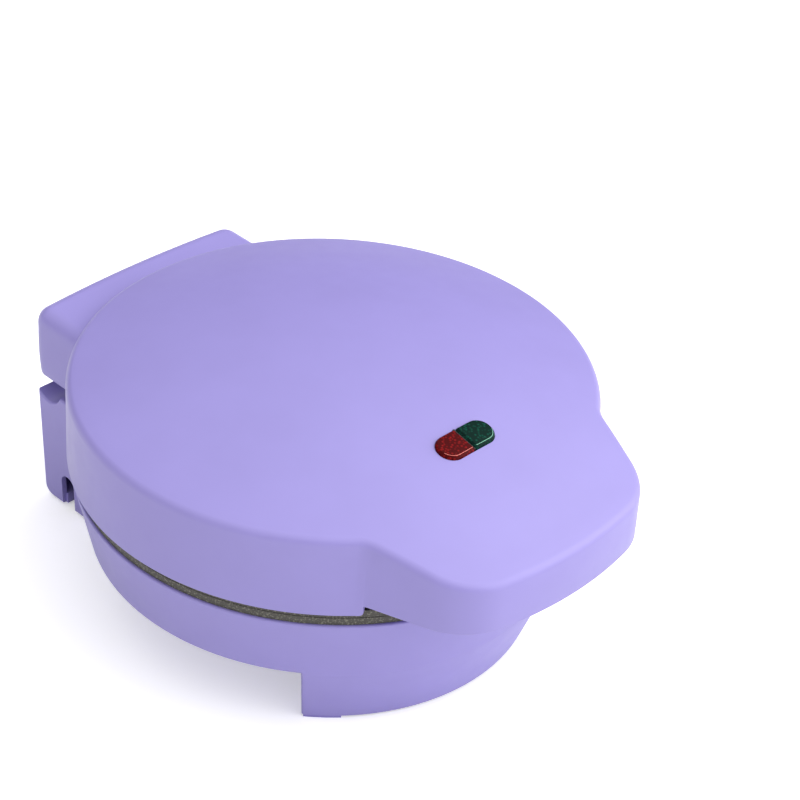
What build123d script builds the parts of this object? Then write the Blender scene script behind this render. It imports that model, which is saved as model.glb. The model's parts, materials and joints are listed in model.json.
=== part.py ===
from build123d import *
import os
from math import asin, cos, degrees, hypot, radians, sin, sqrt

# Cake pop maker: a round countertop cooker. A shallow base on a front foot and a rear
# column carries one cup plate, a domed lid with a front handle carries the other, and
# the lid turns about two pins at the back. Millimetres, +Z up, handle towards -Y.

os.makedirs("parts", exist_ok=True)

# ---- overall sizes, measured from the centre line of the round plates ----
lid_radius = 111.0
handle_length = 26.1
hinge_setback = 9.6
cover_setback = 12.0
plate_face_z = 67.2
lid_rise = 56.5
dome_radius = 380.0
handle_reach = lid_radius + handle_length
hinge_reach = lid_radius + hinge_setback
rear_reach = hinge_reach + cover_setback
dome_top = plate_face_z + lid_rise

# ---- lid cover ----
lid_wall = 2.5
lid_edge_z = plate_face_z + 3.8
lid_round = 4.0
handle_edge_z = lid_edge_z + 5.0
handle_root_share = 0.6108
handle_tip_share = 0.4802
handle_root_x = handle_root_share * lid_radius
handle_tip_x = handle_tip_share * lid_radius
handle_bow = 8.4
handle_corner = 30.0
handle_blend = 12.0
boss_radius = 4.5

# ---- hinge cover at the back of the lid ----
cover_half = 56.0
cover_front_y = lid_radius - 51.0
cover_bow = 3.6
cover_edge_z = lid_edge_z - 3.3
cover_drop = 22.9
cover_top_z = dome_top - cover_drop
cover_round = 7.0
cover_heel = 6.0
cover_corner = 4.0

# ---- hinge ----
hinge_z = lid_edge_z
pin_radius = 2.0
pin_fit = 0.05
lug_radius = 5.0
lug_width = 8.0
lug_inset = 18.0
lug_toe = 14.0
lug_heel = 7.0
lug_root = 2.5
lug_waist = 5.2
lug_waist_drop = 8.6
lug_inner_x = cover_half - lug_inset - lug_width
ear_radius = 4.4
ear_width = 6.0
ear_side_gap = 0.8
pin_overhang = 1.0

# ---- base housing ----
base_wall = 2.5
base_rim_radius = lid_radius - 2.1
base_rim_z = plate_face_z - 3.4
rim_round = 0.8
bowl_draft = 7.4
bowl_depth = 32.0
crease_radius = base_rim_radius - bowl_draft
crease_z = base_rim_z - bowl_depth
crease_round = 3.0
floor_thickness = 2.7
foot_draft = 10.7
foot_toe_radius = crease_radius - foot_draft
foot_inner_radius = crease_radius - 27.5
foot_inner_toe_radius = crease_radius - 23.5
foot_half_angle = 49.5
foot_block_angle = 11.0
foot_end_round = 1.2
toe_round = 0.8
pad_height = 1.5
column_top_z = base_rim_z - 2.8
column_draft = 3.0
column_top_half = cover_half
column_toe_half = column_top_half - column_draft
column_front_y = crease_radius - 9.5
column_rear_y = hinge_reach + 6.8
column_heel = 5.0
column_round = 1.0
trough_radius = 8.3
trough_z = hinge_z - 7.1
trough_skin = 2.6
lip_half = 44.0
lip_dip = 2.15
lip_fit = 0.2
arch_front_y = column_rear_y - 20.9
arch_width = 8.5
arch_height = 18.7
vent_count = 12
vent_radius = crease_radius - 43.5
vent_length = 16.0
vent_width = 4.0

# ---- cup plates ----
plate_radius = lid_radius - lid_wall - 1.0
plate_thickness = 3.35
plate_gap = 0.3
plate_side_gap = 1.6
lower_face_z = plate_face_z
rib_ring_radius = plate_radius - 2.9
rib_ring_wall = 2.0
rib_ring_depth = 4.6
cup_share = 0.17675
inner_ring_share = 0.2512
outer_ring_share = 0.67
cup_radius = cup_share * plate_radius
cup_wall = 2.5
inner_cup_ring = inner_ring_share * plate_radius
outer_cup_ring = outer_ring_share * plate_radius
inner_cups = 3
outer_cups = 9
post_count = 3
post_radius = 4.0
post_seat = 0.05
lower_post_ring = plate_radius - 15.5
upper_post_ring = outer_cup_ring + cup_radius + post_radius + 2.0
lower_post_foot_z = lower_face_z - 21.2
heater_ring = (inner_cup_ring + outer_cup_ring) / 2
heater_radius = 3.5
heater_flat = 2.75
heater_rib_half = 3.5
heater_rib_drop = 11.2
heater_gap_half = 10.0
heater_pin_radius = 1.4
heater_pin_length = 3.4
clip_sheet = 0.8
clip_fit = 0.15
clip_rise = 4.0
clip_angles = (-50.0, 70.0, 190.0)
clip_angle = 8.0
reflector_radius = outer_cup_ring + 14.0
reflector_sheet = 0.8
reflector_gap = 0.35
centre_post_radius = 4.0

# ---- screws ----
screw_radius = 1.6
screw_hole_radius = 1.9
screw_head_radius = 3.0
screw_head_height = 1.7
screw_bite = 8.0

# ---- inner frame of the lid ----
frame_z = hinge_z + 7.0
frame_thickness = 2.5
frame_fit = 0.3
frame_hole_radius = outer_cup_ring + cup_radius + 1.0
handle_screw_x = 30.0
handle_screw_y = handle_reach - 15.1
cover_screw_x = 20.0
cover_screw_y = hinge_reach - 8.6

# ---- pilot lamps ----
window_y = lid_radius - 37.0
window_length = 28.0
window_width = 12.5
window_fit = 0.15
lens_proud = 0.8
lens_depth = 9.0
lens_split = 1.2
holder_rim = 2.5
holder_depth = 9.5
holder_floor = 2.0
lamp_radius = 2.5
lamp_length = 6.0
lamp_x = window_length / 4

# ---- controls and supply inside the base ----
thermostat_ring = inner_cup_ring + 8.0
thermostat_radius = 7.5
thermostat_height = 9.0
thermostat_cap_radius = 5.0
thermostat_cap_height = 2.5
thermostat_tab_width = 6.0
thermostat_tab_height = 3.0
thermostat_tab_sheet = 0.8
fuse_angle = -30.0
fuse_radius = 2.0
fuse_length = 11.0
fuse_lead_radius = 0.6
fuse_lead_length = 5.0
terminal_y = crease_radius - 12.5
terminal_size = (24.0, 9.0, 8.0)
terminal_ways = 3
terminal_pitch = 7.0
terminal_hole_radius = 1.6
gland_z = 22.0
gland_bore_radius = 3.6
gland_body = (12.0, 11.0)
gland_flange = 1.8
gland_lip = 1.6
gland_fit = 0.15
front_pad_inset = 1.0
rear_pad_size = (12.0, 6.0)
rear_pad_x = column_toe_half - 9.0
rear_pad_y = column_rear_y - 8.8
rear_block = (14.6, 10.0, 5.0)

# ---- places worked out from the sizes above ----
axis_y = (handle_reach - rear_reach) / 2
body = Plane(origin=(0, axis_y, 0))
spin = Axis((0, axis_y, 0), (0, 0, 1))
upright = Plane(origin=(0, axis_y, 0), x_dir=(1, 0, 0), z_dir=(0, -1, 0))
side_on = Plane(origin=(0, axis_y, 0), x_dir=(0, 1, 0), z_dir=(1, 0, 0))
upper_face_z = lower_face_z + plate_gap
first_post_angle = -90.0
post_step = 360.0 / post_count
frame_top_z = frame_z + frame_thickness
window_centre = (0, -window_y)
bow_radius = (cover_half**2 + cover_bow**2) / (2 * cover_bow)
bow_half_angle = degrees(asin((cover_half + 2) / bow_radius))


def dome_z(reach, drop=0.0):
    """Height of the dome at a distance from the centre line, less a thickness under it."""
    centre_z = dome_top - dome_radius
    return centre_z + sqrt((dome_radius - drop) ** 2 - reach**2)


lens_low_z = dome_z(window_y) - lens_depth
holder_floor_z = lens_low_z - holder_depth


def on_ring(ring, angle):
    """Point of the body plane at a distance and an angle from the centre line."""
    return (ring * cos(radians(angle)), ring * sin(radians(angle)))


def upright_at(angle):
    """Upright plane through the centre line, its x axis pointing out at the angle."""
    x_dir = (cos(radians(angle)), sin(radians(angle)), 0)
    z_dir = (sin(radians(angle)), -cos(radians(angle)), 0)
    return Plane(origin=(0, axis_y, 0), x_dir=x_dir, z_dir=z_dir)


def posts_on(ring):
    """Places of the plate posts on a ring, the first one under the handle."""
    return [on_ring(ring, first_post_angle + post_step * i) for i in range(post_count)]


# ======================================================================
# Forms that the lid's pieces share
# ======================================================================
def lid_outline(inset=0.0):
    """Plan of the round lid with its tapered handle, drawn in by an inset."""
    root_y = -sqrt(lid_radius**2 - handle_root_x**2)
    tip_y = -(handle_reach - handle_bow)
    with BuildSketch(Plane.XY) as handle_plan:
        with BuildLine():
            Polyline((-handle_tip_x, tip_y), (-handle_root_x, root_y), (0, 0),
                     (handle_root_x, root_y), (handle_tip_x, tip_y))
            ThreePointArc((handle_tip_x, tip_y), (0, -handle_reach), (-handle_tip_x, tip_y))
        make_face()
        fillet(handle_plan.vertices().group_by(Axis.Y)[0], radius=handle_corner)
    with BuildSketch(Plane.XY) as plan:
        Circle(lid_radius)
        add(handle_plan.sketch)
        roots = plan.vertices().filter_by(lambda v: abs(abs(v.X) - handle_root_x) < 0.5)
        fillet(roots, radius=handle_blend)
        if inset > 0:
            offset(amount=-inset, kind=Kind.INTERSECTION)
    return plan.sketch


def cover_outline(inset=0.0):
    """Plan of the hinge cover: straight sides and a bowed back."""
    half = cover_half - inset
    back = rear_reach - inset
    corner_y = back - cover_bow
    with BuildSketch(Plane.XY) as plan:
        with BuildLine():
            Polyline((-half, corner_y), (-half, cover_front_y), (half, cover_front_y),
                     (half, corner_y))
            ThreePointArc((half, corner_y), (0, back), (-half, corner_y))
        make_face()
    return plan.sketch


def rounded_cover(inset, low_z):
    """Block of the hinge cover, its top edges and its lower back edge rounded."""
    with BuildPart() as block:
        with BuildSketch(body.offset(low_z)):
            add(cover_outline(inset))
        extrude(amount=cover_top_z - inset - low_z)
        uprights = block.edges().filter_by(Axis.Z).group_by(Axis.Y)[-1]
        fillet(uprights, radius=cover_corner - inset)
        top_rim = block.faces().sort_by(Axis.Z)[-1].edges()
        fillet(top_rim.sort_by(Axis.Y)[1:], radius=cover_round - inset)
    return block.part


def dressed_lid(inset, low_z):
    """Round lid and handle under the dome, drawn in by an inset, from low_z up."""
    with BuildPart() as form:
        with BuildSketch(body.offset(low_z)):
            add(lid_outline(inset))
        extrude(amount=dome_top - low_z)
        with Locations((0, axis_y, dome_top - dome_radius)):
            Sphere(dome_radius - inset, mode=Mode.INTERSECT)
        top_rim = form.faces().sort_by(Axis.Z)[-1].edges()
        fillet(top_rim, radius=lid_round - inset)
    return form.part


def heel_wedge():
    """What the quarter round takes off the lower back edge of the hinge cover."""
    bow_axis = Axis((0, axis_y + rear_reach - bow_radius, 0), (0, 0, 1))
    centre = (rear_reach - cover_heel, cover_edge_z + cover_heel)
    reach = cover_heel + 2
    with BuildPart() as wedge:
        with BuildSketch(side_on):
            with Locations(centre):
                Rectangle(reach, reach, align=(Align.MIN, Align.MAX))
                Circle(cover_heel, mode=Mode.SUBTRACT)
        revolve(axis=bow_axis, revolution_arc=bow_half_angle)
        mirror(about=Plane.YZ)
    return wedge.part


# ======================================================================
# Lid cover
# ======================================================================
outer_lid = dressed_lid(0.0, handle_edge_z)
inner_lid = dressed_lid(lid_wall, lid_edge_z - 1)
with BuildPart() as outer_cover:
    add(rounded_cover(0.0, cover_edge_z))
    add(heel_wedge(), mode=Mode.SUBTRACT)
    # room for the cup plate between the sides of the cover
    with BuildSketch(body.offset(cover_edge_z)):
        Circle(plate_radius + plate_side_gap)
    extrude(amount=lid_edge_z - cover_edge_z, mode=Mode.SUBTRACT)
inner_cover = rounded_cover(lid_wall, cover_edge_z - 1)
boss_places = [(x, -handle_screw_y) for x in (-handle_screw_x, handle_screw_x)]
boss_places += [(x, cover_screw_y) for x in (-cover_screw_x, cover_screw_x)]

with BuildPart() as lid_cover:
    # round skirt below the handle's edge, left out where the handle stands
    with BuildSketch(body.offset(lid_edge_z)):
        Circle(lid_radius)
        with Locations((0, -lid_radius)):
            Rectangle(2 * (handle_root_x - 2 * lid_wall), lid_radius, mode=Mode.SUBTRACT)
    extrude(amount=handle_edge_z - lid_edge_z)
    add(outer_lid)
    add(outer_cover.part)
    add(inner_lid, mode=Mode.SUBTRACT)
    add(inner_cover, mode=Mode.SUBTRACT)
    # screw bosses for the inner frame
    with BuildSketch(body.offset(frame_top_z + post_seat)):
        with Locations(*boss_places):
            Circle(boss_radius)
    extrude(until=Until.NEXT)
    with BuildSketch(body.offset(frame_top_z)):
        with Locations(*boss_places):
            Circle(screw_radius)
    extrude(amount=screw_bite + 1, mode=Mode.SUBTRACT)
    # window for the pilot lamps
    with BuildSketch(body.offset(holder_floor_z)):
        with Locations(window_centre):
            SlotOverall(window_length + 2 * window_fit, window_width + 2 * window_fit)
    extrude(amount=dome_top - holder_floor_z, mode=Mode.SUBTRACT)


# ======================================================================
# Inner frame of the lid: closes the handle and the hinge cover, carries plate and ears
# ======================================================================
frame_inset = lid_wall + frame_fit
ear_x = lug_inner_x + lug_width + ear_side_gap

with BuildPart() as inner_frame:
    with BuildSketch(body.offset(frame_z)):
        add(lid_outline(frame_inset))
        add(cover_outline(frame_inset))
        Circle(frame_hole_radius, mode=Mode.SUBTRACT)
        with Locations((0, cover_front_y)):
            Rectangle(2 * cover_half, cover_front_y, mode=Mode.SUBTRACT)
    extrude(amount=frame_thickness)
    back_corners = inner_frame.edges().filter_by(Axis.Z).group_by(Axis.Y)[-1]
    fillet(back_corners, radius=cover_corner - frame_inset)
    # ears that hang down to the hinge pins
    for start_x in (ear_x, -ear_x - ear_width):
        with BuildSketch(side_on.offset(start_x)):
            with Locations((hinge_reach, hinge_z)):
                Circle(ear_radius)
                Rectangle(2 * ear_radius, frame_z - hinge_z, align=(Align.CENTER, Align.MIN))
        extrude(amount=ear_width)
        with BuildSketch(side_on.offset(start_x)):
            with Locations((hinge_reach, hinge_z)):
                Circle(pin_radius + pin_fit)
        extrude(amount=ear_width, mode=Mode.SUBTRACT)
    # screw holes: three down into the plate's posts, four up into the cover's bosses
    with BuildSketch(body.offset(frame_z)):
        with Locations(*posts_on(upper_post_ring), *boss_places):
            Circle(screw_hole_radius)
    extrude(amount=frame_thickness, mode=Mode.SUBTRACT)


# ======================================================================
# Base housing
# ======================================================================
def bowl_radius(z):
    """Outer radius of the base's wall at a height above the crease."""
    slope = (base_rim_radius - crease_radius) / (base_rim_z - crease_z)
    return crease_radius + slope * (z - crease_z)


floor_top_z = crease_z + floor_thickness
column_core_z = trough_z - trough_radius - trough_skin
lip_z = trough_z - sqrt(trough_radius**2 - (column_rear_y - hinge_reach) ** 2) + lip_fit
foot_top_z = crease_z + crease_round
foot_start = -90.0 - foot_half_angle
pocket_start = foot_start + foot_block_angle


def column_half(z):
    """Half-width of the drafted rear column at a height."""
    slope = (column_top_half - column_toe_half) / (column_top_z - pad_height)
    return column_toe_half + slope * (z - pad_height)


with BuildPart() as foot_skirt:
    with BuildSketch(upright_at(foot_start)):
        with BuildLine():
            Polyline((foot_inner_radius, foot_top_z), (foot_inner_toe_radius, pad_height),
                     (foot_toe_radius, pad_height), (crease_radius, crease_z),
                     (bowl_radius(foot_top_z), foot_top_z), close=True)
        make_face()
        toe = vertices().filter_by(lambda v: v.Z < pad_height + 0.1).sort_by(lambda v: abs(v.X))[-1]
        fillet(toe, radius=toe_round)
    revolve(axis=spin, revolution_arc=2 * foot_half_angle)
    # upright outer edges at both ends of the skirt
    ends = foot_skirt.edges().filter_by(GeomType.LINE)
    ends = ends.filter_by(lambda e: e.length > bowl_depth - 3 and (e @ 0.5).Z < crease_z)
    ends = ends.sort_by(lambda e: hypot((e @ 0.5).X, (e @ 0.5).Y - axis_y))[-2:]
    fillet(ends, radius=foot_end_round)

with BuildPart() as base_housing:
    # rear column, drafted at its sides
    with BuildSketch(upright.offset(-column_rear_y)):
        with BuildLine():
            Polyline((-column_half(pad_height), pad_height), (column_half(pad_height), pad_height),
                     (column_top_half, column_top_z), (-column_top_half, column_top_z), close=True)
        make_face()
    extrude(amount=column_rear_y - column_front_y)
    heel = base_housing.edges().group_by(Axis.Y)[-1].sort_by(Axis.Z)[0]
    fillet(heel, radius=column_heel)
    # trough that the hinge cover turns into
    with BuildSketch(side_on):
        with Locations((hinge_reach, trough_z)):
            Circle(trough_radius)
    extrude(amount=column_top_half + 1, both=True, mode=Mode.SUBTRACT)
    # dip in the rear lip, which clears the bowed back of the hinge cover as it turns down
    with BuildSketch(upright.offset(-column_rear_y - lip_fit)):
        with BuildLine():
            ThreePointArc((-lip_half, lip_z), (0, lip_z - lip_dip), (lip_half, lip_z))
            Line((lip_half, lip_z), (-lip_half, lip_z))
        make_face()
    extrude(amount=column_rear_y + lip_fit - hinge_reach, mode=Mode.SUBTRACT)
    # soft edges round both side walls, as the mould gives them
    for side_wall in (base_housing.faces().sort_by(Axis.X)[0], base_housing.faces().sort_by(Axis.X)[-1]):
        shown = side_wall.edges().filter_by(lambda e: e.center().Y > axis_y + column_front_y + 1)
        fillet(shown, radius=column_round)
    # hollow of the column, open below
    with BuildSketch(upright.offset(-(column_rear_y - base_wall))):
        with BuildLine():
            Polyline((-column_half(0) + base_wall, 0), (column_half(0) - base_wall, 0),
                     (column_half(column_core_z) - base_wall, column_core_z),
                     (-column_half(column_core_z) + base_wall, column_core_z), close=True)
        make_face()
    extrude(amount=column_rear_y - column_front_y - 2 * base_wall, mode=Mode.SUBTRACT)
    # arched notch through both side walls
    arch_top = (arch_front_y + arch_width / 2, arch_height - arch_width / 2)
    with BuildSketch(side_on):
        with Locations(arch_top):
            Circle(arch_width / 2)
            Rectangle(arch_width, arch_top[1], align=(Align.CENTER, Align.MAX))
    extrude(amount=column_top_half, both=True, mode=Mode.SUBTRACT)
    # blocks that carry the back pads
    with BuildSketch(body.offset(pad_height)):
        with Locations((rear_pad_x, rear_pad_y), (-rear_pad_x, rear_pad_y)):
            Rectangle(rear_block[0], rear_block[1])
    extrude(amount=rear_block[2])
    # front foot: a drafted skirt on an arc, hollow between its two end blocks
    add(foot_skirt.part)
    with BuildSketch(upright_at(pocket_start)):
        with BuildLine():
            Polyline((foot_inner_radius + base_wall, crease_z),
                     (foot_inner_toe_radius + base_wall, 0),
                     (foot_toe_radius - base_wall, 0),
                     (crease_radius - base_wall, crease_z), close=True)
        make_face()
    revolve(axis=spin, revolution_arc=2 * (foot_half_angle - foot_block_angle),
            mode=Mode.SUBTRACT)
    # shallow bowl, its crease rounded, then hollowed from above
    with BuildSketch(upright):
        with BuildLine():
            Polyline((0, crease_z), (crease_radius, crease_z), (base_rim_radius, base_rim_z),
                     (0, base_rim_z), close=True)
        make_face()
        crease = vertices().filter_by(lambda v: abs(v.X - crease_radius) < 0.01)
        fillet(crease, radius=crease_round)
        rim = vertices().filter_by(lambda v: abs(v.X - base_rim_radius) < 0.01)
        fillet(rim, radius=rim_round)
    revolve(axis=spin)
    with BuildSketch(upright):
        with BuildLine():
            Polyline((0, floor_top_z), (bowl_radius(floor_top_z) - base_wall, floor_top_z),
                     (bowl_radius(base_rim_z + 1) - base_wall, base_rim_z + 1),
                     (0, base_rim_z + 1), close=True)
        make_face()
    revolve(axis=spin, mode=Mode.SUBTRACT)
    # bosses under the plate's posts, counterbored from below
    with BuildSketch(body.offset(floor_top_z)):
        with Locations(*posts_on(lower_post_ring)):
            Circle(boss_radius)
    extrude(amount=lower_post_foot_z - post_seat - floor_top_z)
    with Locations(body.offset(crease_z)):
        with Locations(*posts_on(lower_post_ring)):
            Cylinder(screw_hole_radius, lower_post_foot_z - crease_z,
                     align=(Align.CENTER, Align.CENTER, Align.MIN), mode=Mode.SUBTRACT)
            Cylinder(screw_head_radius + 0.3, screw_head_height + 1.0,
                     align=(Align.CENTER, Align.CENTER, Align.MIN), mode=Mode.SUBTRACT)
    # vents in the floor
    with BuildSketch(body.offset(crease_z)):
        with PolarLocations(vent_radius, vent_count):
            SlotOverall(vent_length, vent_width)
    extrude(amount=floor_thickness, mode=Mode.SUBTRACT)
    # hinge lugs, raked forward so that the hinge cover's back can turn down past them
    for start_x in (lug_inner_x, -lug_inner_x - lug_width):
        with BuildSketch(side_on.offset(start_x)):
            with Locations((hinge_reach, hinge_z)):
                Circle(lug_radius)
            with BuildLine():
                Polyline((hinge_reach, hinge_z), (hinge_reach - lug_radius, hinge_z),
                         (hinge_reach - lug_toe, column_top_z),
                         (hinge_reach - lug_toe, column_top_z - lug_root),
                         (hinge_reach - lug_heel, column_top_z - lug_root),
                         (hinge_reach - lug_waist, hinge_z - lug_waist_drop), close=True)
            make_face()
        extrude(amount=lug_width)
        with BuildSketch(side_on.offset(start_x)):
            with Locations((hinge_reach, hinge_z)):
                Circle(pin_radius + pin_fit)
        extrude(amount=lug_width, mode=Mode.SUBTRACT)
    # slot for the cord's gland in the back wall
    with BuildSketch(upright.offset(-column_rear_y)):
        with Locations((0, gland_z)):
            Rectangle(gland_body[0] + 2 * gland_fit, gland_body[1] + 2 * gland_fit)
    extrude(amount=base_wall, mode=Mode.SUBTRACT)


# ======================================================================
# Cup plates: a flange, a grid of round cups, a heater rib and posts
# ======================================================================
def cup_places():
    """Centres of the inner and the outer ring of cups, mirrored left to right."""
    inner = [on_ring(inner_cup_ring, -90 + 360 / inner_cups * i) for i in range(inner_cups)]
    step = 360 / outer_cups
    outer = [on_ring(outer_cup_ring, -90 + step / 2 + step * i) for i in range(outer_cups)]
    return inner + outer


def cup_plate(face_z, out, post_ring, post_end_z, centre_end_z):
    """Cast plate: out is +1 where its back points up and -1 where it points down."""
    back_z = face_z + out * plate_thickness
    back = body.offset(back_z)
    with BuildPart() as plate:
        with BuildSketch(body.offset(face_z)):
            Circle(plate_radius)
        extrude(amount=out * plate_thickness)
        with BuildSketch(back):
            Circle(rib_ring_radius)
            Circle(rib_ring_radius - rib_ring_wall, mode=Mode.SUBTRACT)
        extrude(amount=out * rib_ring_depth)
        with BuildSketch(back):
            Circle(heater_ring + heater_rib_half)
            Circle(heater_ring - heater_rib_half, mode=Mode.SUBTRACT)
        extrude(amount=out * (heater_rib_drop - plate_thickness))
        with BuildSketch(back):
            with Locations(*posts_on(post_ring)):
                Circle(post_radius)
        extrude(amount=post_end_z - back_z)
        with BuildSketch(back):
            Circle(centre_post_radius)
        extrude(amount=centre_end_z - back_z)
        # cups: the outer shells first, then the round hollows
        with BuildPart(mode=Mode.PRIVATE) as shell:
            Sphere(cup_radius + cup_wall)
            with Locations((0, 0, -out * cup_radius)):
                Box(3 * cup_radius, 3 * cup_radius, 2 * cup_radius, mode=Mode.SUBTRACT)
        with Locations(body.offset(face_z)):
            with Locations(*cup_places()):
                add(shell.part)
                Sphere(cup_radius, mode=Mode.SUBTRACT)
        # blind screw holes in the ends of the posts
        with BuildSketch(body.offset(post_end_z)):
            with Locations(*posts_on(post_ring)):
                Circle(screw_radius)
        extrude(amount=-out * screw_bite, mode=Mode.SUBTRACT)
        with BuildSketch(body.offset(centre_end_z)):
            Circle(screw_radius)
        extrude(amount=-out * screw_bite, mode=Mode.SUBTRACT)
    return plate


lower_cup_end = lower_face_z - cup_radius - cup_wall
upper_cup_end = upper_face_z + cup_radius + cup_wall
lower_plate = cup_plate(lower_face_z, -1, lower_post_ring, lower_post_foot_z,
                        lower_cup_end - reflector_gap + post_seat)
upper_plate = cup_plate(upper_face_z, 1, upper_post_ring, frame_z - post_seat,
                        upper_cup_end + reflector_gap - post_seat)


# ======================================================================
# Heating elements, their clips, reflectors and screws
# ======================================================================
def heater(face_z, out):
    """Tube element bent to an open ring, pressed flat against the plate's rib."""
    centre_z = face_z + out * (heater_rib_drop + post_seat + heater_flat)
    start = -first_post_angle + heater_gap_half
    with BuildPart() as element:
        with BuildSketch(upright_at(start)):
            with Locations((heater_ring, centre_z)):
                Circle(heater_radius)
                with Locations((0, -out * (heater_flat + heater_radius))):
                    Rectangle(2 * heater_radius, 2 * heater_radius, mode=Mode.SUBTRACT)
        revolve(axis=spin, revolution_arc=360 - 2 * heater_gap_half)
        inset = degrees(asin(2 * heater_pin_radius / heater_ring))
        first_end, last_end = start + inset, -first_post_angle - heater_gap_half - inset
        with BuildSketch(body.offset(centre_z)):
            with Locations(on_ring(heater_ring, first_end), on_ring(heater_ring, last_end)):
                Circle(heater_pin_radius)
        extrude(amount=out * (heater_radius + heater_pin_length))
    return element


def heater_clips(face_z, out):
    """Three sprung clips that hold the element against the rib."""
    rib_end = face_z + out * heater_rib_drop
    tube_end = rib_end + out * (post_seat + heater_flat + heater_radius)
    inner = heater_rib_half + clip_fit
    outer = inner + clip_sheet
    low = tube_end + out * clip_fit
    with BuildPart() as clips:
        for angle in clip_angles:
            with BuildSketch(upright_at(angle - clip_angle / 2)):
                with Locations((heater_ring, (rib_end - out * clip_rise + low + out * clip_sheet) / 2)):
                    Rectangle(2 * outer, abs(low + out * clip_sheet - rib_end) + clip_rise)
                with Locations((heater_ring, (rib_end - out * clip_rise + low) / 2)):
                    Rectangle(2 * inner, abs(low - rib_end) + clip_rise, mode=Mode.SUBTRACT)
            revolve(axis=spin, revolution_arc=clip_angle)
    return clips


def reflector(near_z, out):
    """Pressed sheet behind the cups, held by one screw in the plate's centre post."""
    with BuildPart() as sheet:
        with BuildSketch(body.offset(near_z)):
            Circle(reflector_radius)
            Circle(screw_hole_radius, mode=Mode.SUBTRACT)
        extrude(amount=out * reflector_sheet)
    return sheet


def screws(places, seat_z, point_z):
    """Pan-head screws: the head stands off the seat, away from the point."""
    away = 1 if seat_z > point_z else -1
    with BuildPart() as group:
        with BuildSketch(body.offset(seat_z)):
            with Locations(*places):
                Circle(screw_head_radius)
        extrude(amount=away * screw_head_height)
        with BuildSketch(body.offset(seat_z)):
            with Locations(*places):
                Circle(screw_radius - pin_fit)
        extrude(amount=point_z - seat_z)
    return group


lower_heater = heater(lower_face_z, -1)
upper_heater = heater(upper_face_z, 1)
lower_heater_clips = heater_clips(lower_face_z, -1)
upper_heater_clips = heater_clips(upper_face_z, 1)
lower_reflector = reflector(lower_cup_end - reflector_gap, -1)
upper_reflector = reflector(upper_cup_end + reflector_gap, 1)
lower_back_z = lower_cup_end - reflector_gap - reflector_sheet
upper_back_z = upper_cup_end + reflector_gap + reflector_sheet
lower_reflector_screw = screws([(0, 0)], lower_back_z, lower_back_z + screw_bite)
upper_reflector_screw = screws([(0, 0)], upper_back_z, upper_back_z - screw_bite)
lower_plate_screws = screws(posts_on(lower_post_ring), crease_z + screw_head_height + 1.0,
                            lower_post_foot_z + screw_bite - 1)
upper_plate_screws = screws(posts_on(upper_post_ring), frame_top_z,
                            frame_z - screw_bite + 1)
frame_screws = screws(boss_places, frame_z, frame_top_z + screw_bite)


# ======================================================================
# Pilot lamps under the window in the lid
# ======================================================================
def lens(side):
    """Half of the window's lens, domed with the lid and slightly proud of it."""
    with BuildPart() as half:
        with BuildSketch(body.offset(lens_low_z)):
            with Locations(window_centre):
                SlotOverall(window_length, window_width)
                Rectangle(lens_split, window_width, mode=Mode.SUBTRACT)
                with Locations((-side * window_length / 2, 0)):
                    Rectangle(window_length, window_width, mode=Mode.SUBTRACT)
        extrude(amount=dome_top - lens_low_z)
        with Locations((0, axis_y, dome_top - dome_radius)):
            Sphere(dome_radius + lens_proud, mode=Mode.INTERSECT)
    return half


with BuildPart() as lamp_holder:
    with BuildSketch(body.offset(holder_floor_z)):
        with Locations(window_centre):
            SlotOverall(window_length + 2 * holder_rim, window_width + 2 * holder_rim)
    extrude(amount=dome_top - holder_floor_z)
    with Locations((0, axis_y, dome_top - dome_radius)):
        Sphere(dome_radius - lid_wall - post_seat, mode=Mode.INTERSECT)
    with BuildSketch(body.offset(lens_low_z)):
        with Locations(window_centre):
            SlotOverall(window_length + 2 * window_fit, window_width + 2 * window_fit)
    extrude(amount=dome_top - lens_low_z, mode=Mode.SUBTRACT)
    # two wells for the lamps under the lens
    with BuildSketch(body.offset(holder_floor_z + holder_floor)):
        with Locations((-lamp_x, -window_y), (lamp_x, -window_y)):
            Rectangle(window_width - holder_rim, window_width - holder_rim)
    extrude(amount=lens_low_z - holder_floor_z - holder_floor, mode=Mode.SUBTRACT)
    # wall between the two colours, up to the face of the lens
    with BuildPart(mode=Mode.PRIVATE) as wall:
        with BuildSketch(body.offset(lens_low_z - post_seat)):
            with Locations(window_centre):
                Rectangle(lens_split - 2 * window_fit, window_width)
        extrude(amount=dome_top - lens_low_z)
        with Locations((0, axis_y, dome_top - dome_radius)):
            Sphere(dome_radius + lens_proud / 2, mode=Mode.INTERSECT)
    add(wall.part)

red_lens = lens(-1)
green_lens = lens(1)


def lamp(side):
    """Neon lamp standing in its well."""
    with BuildPart() as bulb:
        with BuildSketch(body.offset(holder_floor_z + holder_floor)):
            with Locations((side * lamp_x, -window_y)):
                Circle(lamp_radius)
        extrude(amount=lamp_length)
        fillet(bulb.edges().sort_by(Axis.Z)[-1], radius=lamp_radius - 0.6)
    return bulb


red_lamp = lamp(-1)
green_lamp = lamp(1)


# ======================================================================
# Controls and supply inside the base
# ======================================================================
lower_back_of_plate = lower_face_z - plate_thickness

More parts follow.
